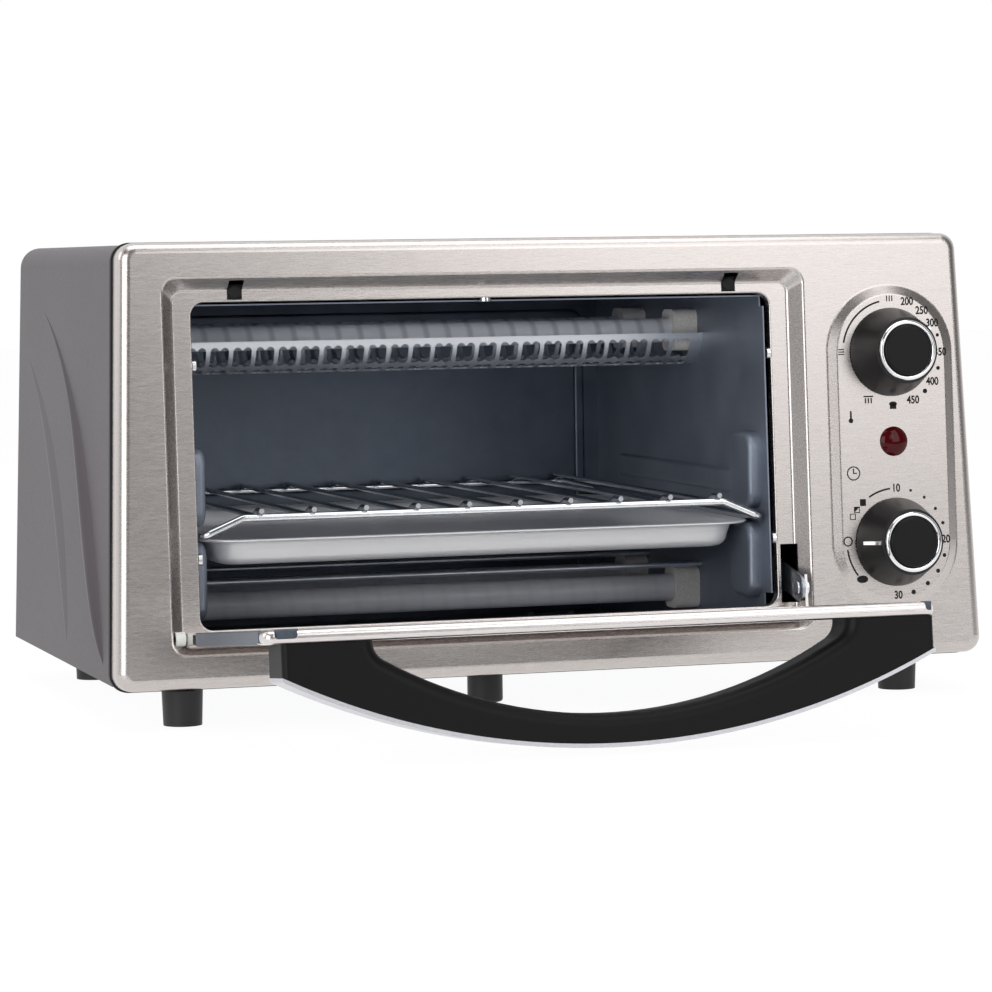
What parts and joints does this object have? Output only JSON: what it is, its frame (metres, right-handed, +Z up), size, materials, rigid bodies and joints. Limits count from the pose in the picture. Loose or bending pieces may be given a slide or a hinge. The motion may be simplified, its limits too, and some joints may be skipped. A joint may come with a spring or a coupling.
{
  "type": "toaster oven",
  "caption": "Compact toaster oven with a drop-down glass door, bow handle, dial controls, quartz heaters, sliding wire rack and baking pan.",
  "frame": {"origin": "on the surface the oven stands on, under the middle of the whole part with its door open", "axes": "+X to the right as seen from the front, +Y towards the back of the oven, +Z up"},
  "size_m": [0.3768, 0.3858, 0.1954],
  "materials": {
    "brushed_stainless": "horizontally brushed stainless steel",
    "bright_screw": "bright zinc plated",
    "frame_black": "black",
    "case_grey": "satin dark grey paint",
    "base_steel": "galvanised sheet",
    "aluminised_steel": "aluminised sheet, heat-dulled",
    "quartz": "frosted quartz",
    "element_wire": "heating wire",
    "ceramic": "unglazed ceramic",
    "guard_steel": "bright steel",
    "rack_chrome": "chrome plated wire",
    "pan_aluminium": "satin aluminium",
    "foot_black": "black plastic",
    "bracket_steel": "zinc plated",
    "control_housing": "moulded housing",
    "bell_steel": "plated steel",
    "lens_red": "dark red translucent plastic",
    "lamp_glass": "neon lamp",
    "terminal_white": "moulded plastic",
    "knob_black": "satin black",
    "cap_black": "black, finely turned",
    "knob_chrome": "bright chrome",
    "door_glass": "clear tempered glass",
    "door_steel": "brushed steel",
    "bush_white": "white nylon",
    "handle_black": "satin black, heat resistant",
    "strip_silver": "silver band",
    "link_steel": "zinc plated steel",
    "bumper_rubber": "black"
  },
  "bodies": {
    "oven": {"front_panel": "brushed_stainless", "panel_screws": "bright_screw", "front_frame": "frame_black", "outer_wrap": "case_grey", "back_panel": "case_grey", "back_screws": "bright_screw", "cord_grommet": "bumper_rubber", "bottom_plate": "base_steel", "foot_screws": "bright_screw", "cavity_left_wall": "aluminised_steel", "cavity_right_wall": "aluminised_steel", "cavity_ceiling": "aluminised_steel", "cavity_back_wall": "aluminised_steel", "upper_quartz_tubes": "quartz", "lower_quartz_tubes": "quartz", "heating_coils": "element_wire", "upper_end_blocks": "ceramic", "lower_end_blocks": "ceramic", "upper_guards": "guard_steel", "lower_guard_rods": "guard_steel", "crumb_tray_pins": "bright_screw", "control_bracket": "bracket_steel", "thermostat_body": "control_housing", "timer_body": "control_housing", "timer_bell": "bell_steel", "pilot_lens": "lens_red", "pilot_lamp": "lamp_glass", "terminal_block": "terminal_white", "left_hinge_bush": "bush_white", "right_hinge_bush": "bush_white", "door_bumpers": "bumper_rubber", "front_left_foot": "foot_black", "front_right_foot": "foot_black", "back_left_foot": "foot_black", "back_right_foot": "foot_black"},
    "door": {"door_glass": "door_glass", "door_top_trim": "door_steel", "door_bottom_rail": "door_steel", "door_hinge_pins": "bright_screw", "door_handle": "handle_black", "handle_strip": "strip_silver", "handle_screws": "bright_screw", "link_rivet": "bright_screw"},
    "link": {"hinge_link": "link_steel"},
    "temperature_control": {"temperature_knob": "knob_black", "temperature_ring": "knob_chrome", "temperature_cap": "cap_black", "temperature_pointer": "knob_chrome", "thermostat_shaft": "bracket_steel"},
    "timer_control": {"timer_knob": "knob_black", "timer_ring": "knob_chrome", "timer_cap": "cap_black", "timer_pointer": "knob_chrome", "timer_shaft": "bracket_steel"},
    "rack": {"rack_frame": "rack_chrome", "rack_wires": "rack_chrome"},
    "pan": {"baking_pan": "pan_aluminium"},
    "tray": {"crumb_tray": "aluminised_steel", "crumb_tray_knob": "foot_black"}
  },
  "joints": [
    {"name": "door_hinge", "type": "hinge", "parent": "oven", "child": "door", "pos_m": [-0.0273, -0.05091, 0.03671], "axis": [-1, 0, 0], "range_deg": [0, 87.9]},
    {"name": "link_pivot", "type": "hinge", "parent": "door", "child": "link", "pos_m": [-0.0273, -0.05789, 0.04744], "axis": [-1, 0, 0], "range_deg": [-88, 0]},
    {"name": "temperature_turn", "type": "hinge", "parent": "oven", "child": "temperature_control", "pos_m": [0.1486, -0.04678, 0.14506], "axis": [0, 0.9981, -0.061], "range_deg": [-140, 155]},
    {"name": "timer_turn", "type": "hinge", "parent": "oven", "child": "timer_control", "pos_m": [0.1486, -0.0517, 0.06471], "axis": [0, 0.9981, -0.061], "range_deg": [-45, 270]},
    {"name": "rack_slide", "type": "slide", "parent": "oven", "child": "rack", "axis": [0, 1, 0], "range_m": [-0.14, 0]},
    {"name": "pan_slide", "type": "slide", "parent": "oven", "child": "pan", "axis": [0, 1, 0], "range_m": [-0.14, 0]},
    {"name": "tray_hinge", "type": "hinge", "parent": "oven", "child": "tray", "pos_m": [-0.0273, 0.15935, 0.0179], "axis": [1, 0, 0], "range_deg": [0, 80]}
  ],
  "couplings": [
    {"joint": "link_pivot", "follows": "door_hinge", "ratio": -1}
  ]
}
